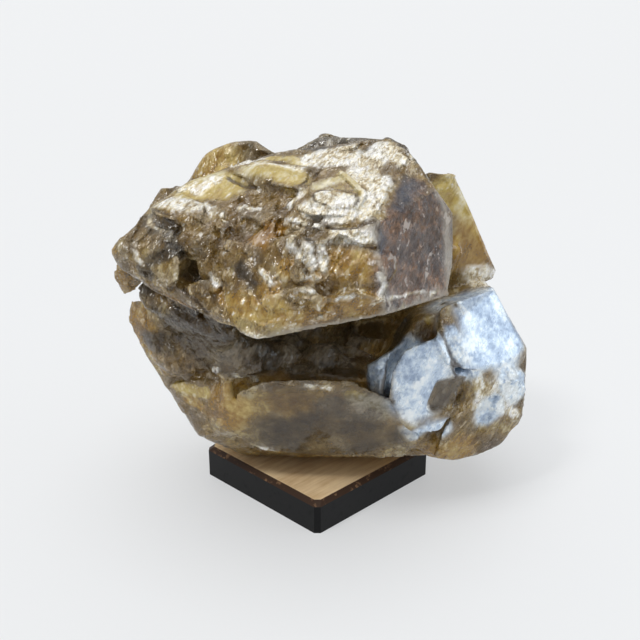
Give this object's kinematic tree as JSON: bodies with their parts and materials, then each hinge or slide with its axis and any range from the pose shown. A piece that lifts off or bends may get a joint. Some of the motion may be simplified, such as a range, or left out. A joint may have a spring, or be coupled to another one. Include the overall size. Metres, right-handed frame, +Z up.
{
  "type": "mineral specimen",
  "caption": "Smoky honey-coloured tabular barite crystals grown together, resting on a small square display block.",
  "frame": {"origin": "centre of the display block's foot, on the surface it stands on", "axes": "+Z up, -Y towards the display side, +X to the right as seen from the display side; the block's corners lie on X and Y"},
  "size_m": [0.0963, 0.075, 0.0868],
  "materials": {
    "barite": "glassy on cleavage faces, frosted and broken elsewhere, translucent smoky honey brown",
    "block": "black painted sides, dark rubbed edges, bare tan top"
  },
  "bodies": {
    "root": {"barite_crystals": "barite", "display_block": "block"}
  },
  "joints": []
}
